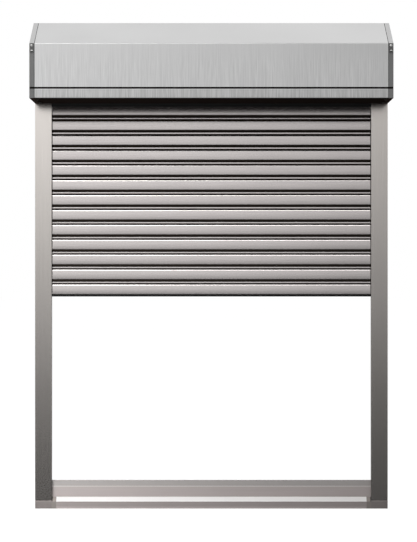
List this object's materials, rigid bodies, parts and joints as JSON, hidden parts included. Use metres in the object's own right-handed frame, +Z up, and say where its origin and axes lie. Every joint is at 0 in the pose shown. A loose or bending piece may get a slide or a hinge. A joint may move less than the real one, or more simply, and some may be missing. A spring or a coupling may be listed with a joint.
{
  "type": "roller shutter",
  "caption": "Exterior roller shutter: bevelled box with a winding shaft, two guide rails, a sill profile and a half lowered curtain of interlocking slats.",
  "frame": {"origin": "middle of the sill profile's flat underside, in the plane in which the curtain hangs", "axes": "+Z up along the guide rails, +X to the right as seen from the street, +Y towards the wall"},
  "size_m": [0.92, 0.2073, 1.262],
  "materials": {
    "hood_metal": "brushed satin",
    "cap_metal": "satin cast",
    "rail_metal": "satin",
    "end_plastic": "satin grey",
    "slat_metal": "satin warm grey",
    "black_rubber": "matt black",
    "black_plastic": "matt black",
    "bright_steel": "polished",
    "zinc_steel": "zinc plated",
    "motor_metal": "painted tube"
  },
  "bodies": {
    "frame": {"hood_shell": "hood_metal", "revision_panel": "hood_metal", "back_panel": "hood_metal", "end_cap_left": "cap_metal", "end_cap_right": "cap_metal", "cap_lugs": "zinc_steel", "cap_rivets": "bright_steel", "cap_screws": "zinc_steel", "panel_screws": "zinc_steel", "outlet_seal": "black_rubber", "rail_left": "rail_metal", "rail_right": "rail_metal", "rail_seals_left": "black_rubber", "rail_seals_right": "black_rubber", "inlet_guide_left": "black_plastic", "inlet_guide_right": "black_plastic", "foot_left": "end_plastic", "foot_right": "end_plastic", "sill_profile": "rail_metal", "sill_cap_left": "end_plastic", "sill_cap_right": "end_plastic", "bearing_bracket": "zinc_steel", "bearing_outer_ring": "bright_steel", "bearing_balls": "bright_steel", "motor_bracket": "zinc_steel", "motor_head": "black_plastic", "motor_tube": "motor_metal", "bracket_screws": "zinc_steel"},
    "shaft": {"shaft_tube": "zinc_steel", "idler_plug": "black_plastic", "bearing_inner_ring": "bright_steel", "crown_adapter": "black_plastic", "drive_wheel": "black_plastic", "wound_slats": "slat_metal"},
    "slat_14": {"slat_14": "slat_metal"},
    "slat_13": {"slat_13": "slat_metal"},
    "slat_12": {"slat_12": "slat_metal"},
    "slat_11": {"slat_11": "slat_metal"},
    "slat_10": {"slat_10": "slat_metal"},
    "slat_09": {"slat_09": "slat_metal"},
    "slat_08": {"slat_08": "slat_metal"},
    "slat_07": {"slat_07": "slat_metal"},
    "slat_06": {"slat_06": "slat_metal"},
    "slat_05": {"slat_05": "slat_metal"},
    "slat_04": {"slat_04": "slat_metal"},
    "slat_03": {"slat_03": "slat_metal"},
    "slat_02": {"slat_02": "slat_metal"},
    "slat_01": {"slat_01": "slat_metal"},
    "bottom": {"bottom_bar": "slat_metal", "bottom_seal": "black_rubber"}
  },
  "joints": [
    {"name": "curtain_travel", "type": "slide", "parent": "frame", "child": "slat_14", "axis": [0, 0, 1], "range_m": [-0.09, 0.1]},
    {"name": "shaft_turn", "type": "hinge", "parent": "frame", "child": "shaft", "pos_m": [0, -0.08, 1.147], "axis": [1, 0, 0], "range_deg": [-95, 105]},
    {"name": "play_13", "type": "slide", "parent": "slat_14", "child": "slat_13", "axis": [0, 0, 1], "range_m": [0, 0.0022]},
    {"name": "play_12", "type": "slide", "parent": "slat_13", "child": "slat_12", "axis": [0, 0, 1], "range_m": [0, 0.0022]},
    {"name": "play_11", "type": "slide", "parent": "slat_12", "child": "slat_11", "axis": [0, 0, 1], "range_m": [0, 0.0022]},
    {"name": "play_10", "type": "slide", "parent": "slat_11", "child": "slat_10", "axis": [0, 0, 1], "range_m": [0, 0.0022]},
    {"name": "play_09", "type": "slide", "parent": "slat_10", "child": "slat_09", "axis": [0, 0, 1], "range_m": [0, 0.0022]},
    {"name": "play_08", "type": "slide", "parent": "slat_09", "child": "slat_08", "axis": [0, 0, 1], "range_m": [0, 0.0022]},
    {"name": "play_07", "type": "slide", "parent": "slat_08", "child": "slat_07", "axis": [0, 0, 1], "range_m": [0, 0.0022]},
    {"name": "play_06", "type": "slide", "parent": "slat_07", "child": "slat_06", "axis": [0, 0, 1], "range_m": [0, 0.0022]},
    {"name": "play_05", "type": "slide", "parent": "slat_06", "child": "slat_05", "axis": [0, 0, 1], "range_m": [0, 0.0022]},
    {"name": "play_04", "type": "slide", "parent": "slat_05", "child": "slat_04", "axis": [0, 0, 1], "range_m": [0, 0.0022]},
    {"name": "play_03", "type": "slide", "parent": "slat_04", "child": "slat_03", "axis": [0, 0, 1], "range_m": [0, 0.0022]},
    {"name": "play_02", "type": "slide", "parent": "slat_03", "child": "slat_02", "axis": [0, 0, 1], "range_m": [0, 0.0022]},
    {"name": "play_01", "type": "slide", "parent": "slat_02", "child": "slat_01", "axis": [0, 0, 1], "range_m": [0, 0.0022]},
    {"name": "bottom_lift", "type": "slide", "parent": "slat_01", "child": "bottom", "axis": [0, 0, 1], "range_m": [0, 0.0022]}
  ],
  "couplings": [
    {"joint": "shaft_turn", "follows": "curtain_travel", "rad_per_m": 18.182},
    {"joint": "play_13", "follows": "bottom_lift", "ratio": 1},
    {"joint": "play_12", "follows": "bottom_lift", "ratio": 1},
    {"joint": "play_11", "follows": "bottom_lift", "ratio": 1},
    {"joint": "play_10", "follows": "bottom_lift", "ratio": 1},
    {"joint": "play_09", "follows": "bottom_lift", "ratio": 1},
    {"joint": "play_08", "follows": "bottom_lift", "ratio": 1},
    {"joint": "play_07", "follows": "bottom_lift", "ratio": 1},
    {"joint": "play_06", "follows": "bottom_lift", "ratio": 1},
    {"joint": "play_05", "follows": "bottom_lift", "ratio": 1},
    {"joint": "play_04", "follows": "bottom_lift", "ratio": 1},
    {"joint": "play_03", "follows": "bottom_lift", "ratio": 1},
    {"joint": "play_02", "follows": "bottom_lift", "ratio": 1},
    {"joint": "play_01", "follows": "bottom_lift", "ratio": 1}
  ]
}
